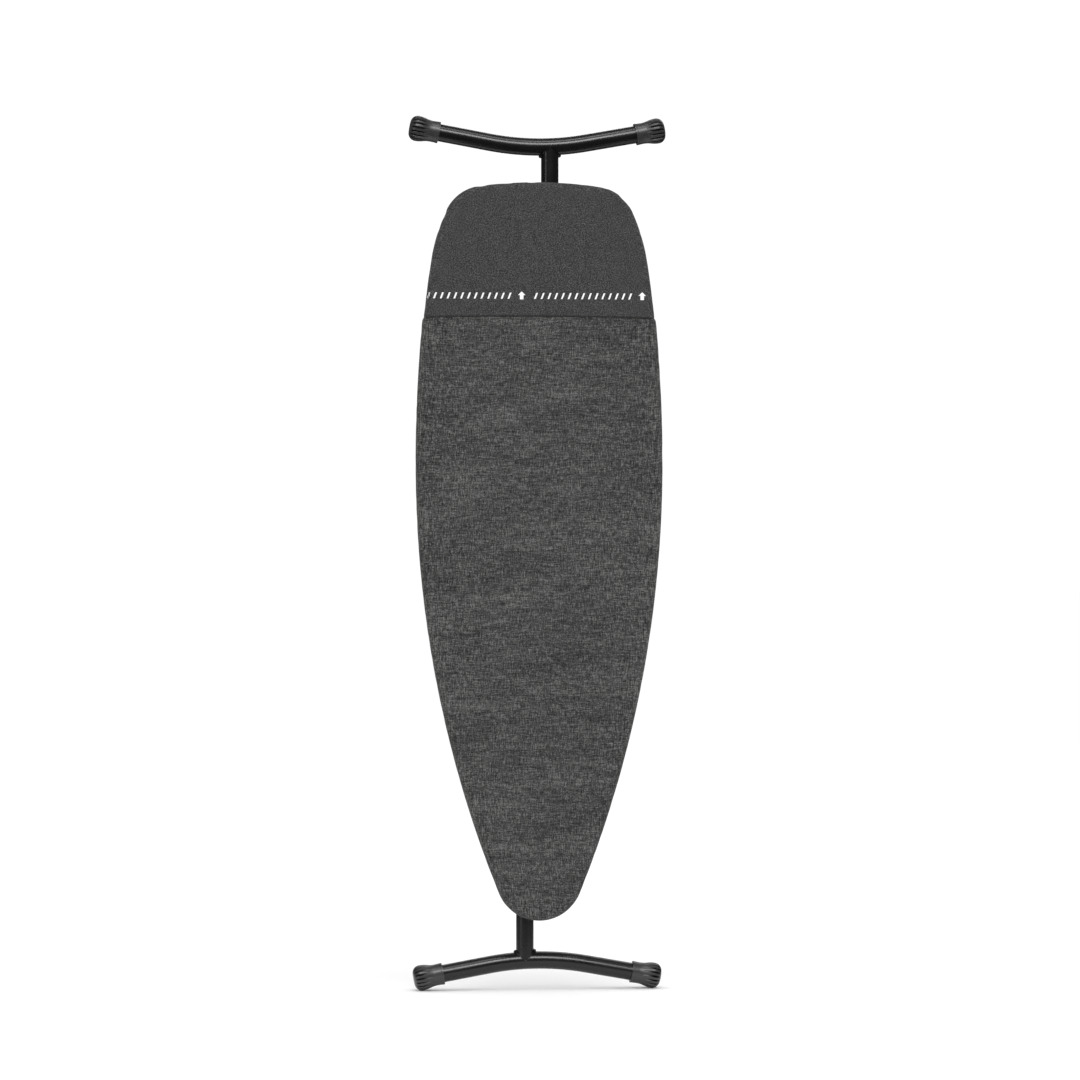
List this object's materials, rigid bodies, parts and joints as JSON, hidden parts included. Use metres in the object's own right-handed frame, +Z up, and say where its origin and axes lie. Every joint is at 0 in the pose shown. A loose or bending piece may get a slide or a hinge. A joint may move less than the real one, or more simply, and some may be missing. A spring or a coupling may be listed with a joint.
{
  "type": "ironing board",
  "caption": "Folding ironing board standing folded on end: padded cloth-covered tapered top on a tube frame, scissor legs with bowed foot bars, height lever and transport lock.",
  "frame": {"origin": "on the floor under the middle of the folded board, which stands upright on its lower foot bar", "axes": "+Z up along the board, wide end at the top; +X to the right seen from the cover side; -Y out of the ironing face"},
  "size_m": [0.474, 0.0693, 1.6009],
  "materials": {
    "cover_cloth": "matte woven, dark grey melange",
    "heat_cloth": "matte fine weave, dark grey with a pale printed band",
    "elastic": "braided",
    "foam": "open-cell foam",
    "felt": "needled felt",
    "leg_paint": "gloss black powder coat",
    "frame_paint": "satin black powder coat",
    "cap_plastic": "satin, fluted",
    "nylon": "satin black",
    "zinc_steel": "bright zinc plate"
  },
  "bodies": {
    "board": {"cover_main": "cover_cloth", "cover_zone": "heat_cloth", "hem_elastic": "elastic", "foam_pad": "foam", "felt_layer": "felt", "top_plate": "frame_paint", "rim_tube": "frame_paint", "cross_brace_1": "frame_paint", "cross_brace_2": "frame_paint", "cross_brace_3": "frame_paint", "cross_brace_4": "frame_paint", "cross_brace_5": "frame_paint", "cross_brace_6": "frame_paint", "rail_left": "frame_paint", "rail_right": "frame_paint", "pivot_axle": "zinc_steel", "pivot_clip_left": "zinc_steel", "pivot_clip_right": "zinc_steel", "leg_rest_upper": "nylon", "leg_rest_lower": "nylon", "lever_clip_upper": "nylon", "lever_clip_lower": "nylon", "lever_spring": "zinc_steel", "lock_guide": "nylon"},
    "front_leg": {"front_tube": "leg_paint", "front_foot_bar": "leg_paint", "front_weld": "leg_paint", "front_cap_left": "cap_plastic", "front_cap_right": "cap_plastic", "pivot_sleeve": "leg_paint", "pivot_saddle": "leg_paint", "front_plug": "nylon", "mid_bush": "nylon"},
    "rear_leg": {"rear_tube": "leg_paint", "rear_foot_bar": "leg_paint", "rear_weld": "leg_paint", "rear_cap_left": "cap_plastic", "rear_cap_right": "cap_plastic", "glide_sleeve": "leg_paint", "glide_saddle": "leg_paint", "rear_plug": "nylon", "glide_axle": "zinc_steel", "glide_clip": "zinc_steel", "mid_bolt": "zinc_steel", "mid_nut": "zinc_steel", "mid_washer_left": "zinc_steel", "mid_washer_right": "zinc_steel", "mid_spacer": "nylon"},
    "glide": {"glide_shoe_left": "nylon", "glide_shoe_right": "nylon"},
    "lever": {"lever_rod": "frame_paint", "trip_bar": "frame_paint", "lever_finger_lower": "frame_paint", "lever_finger_upper": "frame_paint", "lever_arm": "frame_paint", "lever_grip": "nylon"},
    "lock": {"lock_slide": "zinc_steel", "lock_knob": "nylon"}
  },
  "joints": [
    {"name": "leg_fold", "type": "hinge", "parent": "board", "child": "front_leg", "pos_m": [0, -0.011, 1.3197], "axis": [1, 0, 0], "range_deg": [0, 44]},
    {"name": "scissor", "type": "hinge", "parent": "front_leg", "child": "rear_leg", "pos_m": [0, 0.0115, 0.7997], "axis": [1, 0, 0], "range_deg": [-88.5, 0]},
    {"name": "glide_turn", "type": "hinge", "parent": "rear_leg", "child": "glide", "pos_m": [0, -0.011, 0.2797], "axis": [1, 0, 0], "range_deg": [0, 44.5]},
    {"name": "release_lever", "type": "hinge", "parent": "board", "child": "lever", "pos_m": [0.074, -0.017, 0.52], "axis": [0, 0, -1], "range_deg": [0, 11.5], "stiffness_Nm_per_rad": 0.6, "springref_deg": -22.92},
    {"name": "transport_lock", "type": "slide", "parent": "board", "child": "lock", "axis": [0, -1, 0], "range_m": [0, 0.0105]}
  ],
  "couplings": [
    {"joint": "scissor", "follows": "leg_fold", "ratio": -2},
    {"joint": "glide_turn", "follows": "leg_fold", "ratio": 1}
  ]
}
